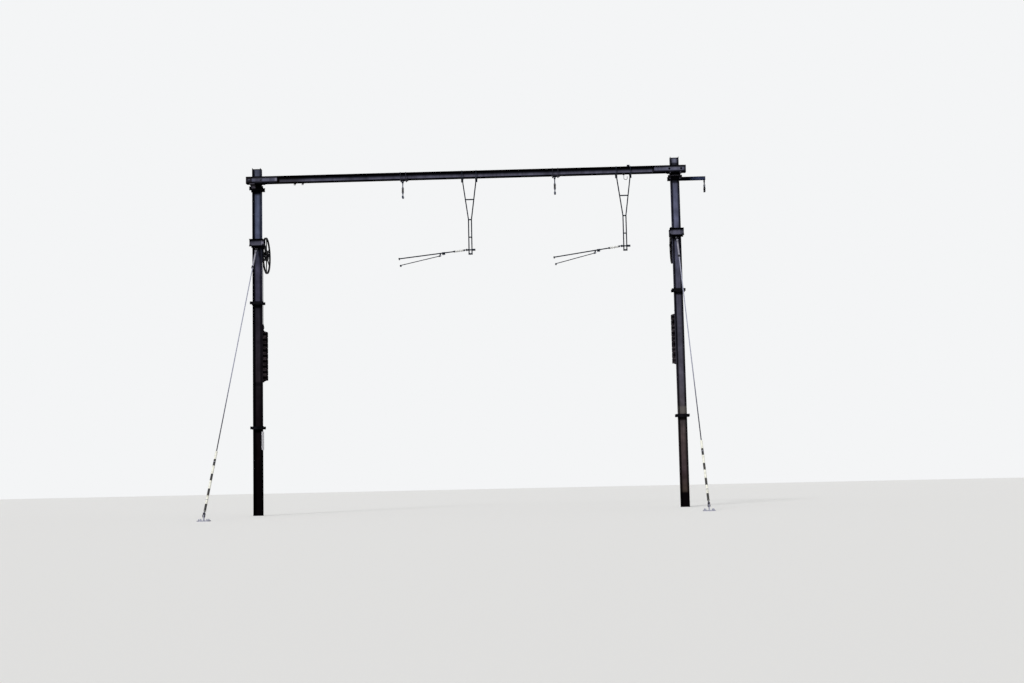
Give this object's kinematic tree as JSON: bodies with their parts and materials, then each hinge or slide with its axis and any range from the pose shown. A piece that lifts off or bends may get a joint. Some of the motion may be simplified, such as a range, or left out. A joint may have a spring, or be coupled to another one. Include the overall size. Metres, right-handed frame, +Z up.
{
  "type": "railway catenary portal",
  "caption": "Catenary portal: a beam clamped across stayed wide-flange masts, with hangers, registration arms, insulators, tension wheels and weight stacks.",
  "frame": {"origin": "centre of the left mast's foot, at ground level", "axes": "+X along the beam to the right mast, +Y away from the viewer to the side of the tension wheels, +Z up"},
  "size_m": [11.454, 6.9, 8.655],
  "materials": {
    "mast_paint": "matt mauve-grey paint, browned toward the foot",
    "beam_paint": "matt dark grey paint",
    "plate_paint": "matt light grey paint",
    "dark_steel": "matt dark weathered steel",
    "wheel_iron": "dark painted casting",
    "weight_iron": "dark rusted casting",
    "arm_steel": "dull dark grey weathered steel",
    "galvanised": "dull galvanised steel",
    "rope_steel": "greased steel rope",
    "guard": "white plastic with black bands",
    "white_glaze": "white glaze",
    "brown_glaze": "dark brown glaze",
    "grey_glaze": "pale grey glaze",
    "white_paint": "bare white plate"
  },
  "bodies": {
    "portal": {"left_mast": "mast_paint", "right_mast": "mast_paint", "cross_beam": "beam_paint", "beam_end_plates": "plate_paint", "messenger_brackets": "dark_steel", "feeder_arm": "dark_steel", "number_plate": "white_paint", "spare_lugs": "dark_steel", "guy_guards": "guard", "guy_anchors": "galvanised", "guide_rods": "galvanised", "left_beam_clamp": "dark_steel", "left_beam_seat": "dark_steel", "left_anchor_clamp": "dark_steel", "left_guy": "galvanised", "left_wheel_bracket": "dark_steel", "left_guide_collars": "dark_steel", "left_hanger": "arm_steel", "right_beam_clamp": "dark_steel", "right_beam_seat": "dark_steel", "right_anchor_clamp": "dark_steel", "right_guy": "galvanised", "right_wheel_bracket": "dark_steel", "right_guide_collars": "dark_steel", "right_hanger": "arm_steel"},
    "left_wheel": {"left_tension_wheel": "wheel_iron"},
    "left_weights": {"left_weight_stack": "weight_iron", "left_weight_rod": "dark_steel", "left_weight_rope": "rope_steel"},
    "left_registration": {"left_registration_arm": "arm_steel", "left_registration_insulator": "white_glaze"},
    "left_steady": {"left_steady_arm": "arm_steel"},
    "left_messenger": {"left_messenger_insulator": "brown_glaze", "left_messenger_fittings": "galvanised"},
    "right_wheel": {"right_tension_wheel": "wheel_iron"},
    "right_weights": {"right_weight_stack": "weight_iron", "right_weight_rod": "dark_steel", "right_weight_rope": "rope_steel"},
    "right_registration": {"right_registration_arm": "arm_steel", "right_registration_insulator": "white_glaze"},
    "right_steady": {"right_steady_arm": "arm_steel"},
    "right_messenger": {"right_messenger_insulator": "brown_glaze", "right_messenger_fittings": "galvanised"},
    "feeder": {"feeder_insulator": "grey_glaze", "feeder_fittings": "dark_steel"}
  },
  "joints": [
    {"name": "left_weight_travel", "type": "slide", "parent": "portal", "child": "left_weights", "axis": [0, 0, 1], "range_m": [-1.1, 0.6], "deforming": ["left_weight_rope"]},
    {"name": "left_wheel_turn", "type": "hinge", "parent": "portal", "child": "left_wheel", "pos_m": [0.084, 0.725, 6.565], "axis": [1, 0, 0], "range_deg": [-80, 145]},
    {"name": "left_arm_swing", "type": "hinge", "parent": "portal", "child": "left_registration", "pos_m": [5.248, -0.228, 6.4265], "axis": [0, 0, 1], "range_deg": [-30, 30]},
    {"name": "left_steady_tilt", "type": "hinge", "parent": "left_registration", "child": "left_steady", "pos_m": [4.59832, -0.228, 6.29472], "axis": [0, 1, 0], "range_deg": [-15, 6]},
    {"name": "left_messenger_swing", "type": "hinge", "parent": "portal", "child": "left_messenger", "pos_m": [3.685, -0.2, 8.1905], "axis": [0, 1, 0], "range_deg": [-30, 30]},
    {"name": "right_weight_travel", "type": "slide", "parent": "portal", "child": "right_weights", "axis": [0, 0, 1], "range_m": [-1.2, 0.5], "deforming": ["right_weight_rope"]},
    {"name": "right_wheel_turn", "type": "hinge", "parent": "portal", "child": "right_wheel", "pos_m": [10.385, 0.725, 6.565], "axis": [1, 0, 0], "range_deg": [-70, 160]},
    {"name": "right_arm_swing", "type": "hinge", "parent": "portal", "child": "right_registration", "pos_m": [9.072, -0.228, 6.4265], "axis": [0, 0, 1], "range_deg": [-30, 30]},
    {"name": "right_steady_tilt", "type": "hinge", "parent": "right_registration", "child": "right_steady", "pos_m": [8.42732, -0.228, 6.27212], "axis": [0, 1, 0], "range_deg": [-15, 6]},
    {"name": "right_messenger_swing", "type": "hinge", "parent": "portal", "child": "right_messenger", "pos_m": [7.465, -0.2, 8.1905], "axis": [0, 1, 0], "range_deg": [-30, 30]},
    {"name": "feeder_swing", "type": "hinge", "parent": "portal", "child": "feeder", "pos_m": [11.195, 0.1325, 8.0645], "axis": [0, 1, 0], "range_deg": [-30, 30]}
  ],
  "couplings": [
    {"joint": "left_wheel_turn", "follows": "left_weight_travel", "rad_per_m": -2.2222},
    {"joint": "right_wheel_turn", "follows": "right_weight_travel", "rad_per_m": -2.2222}
  ]
}
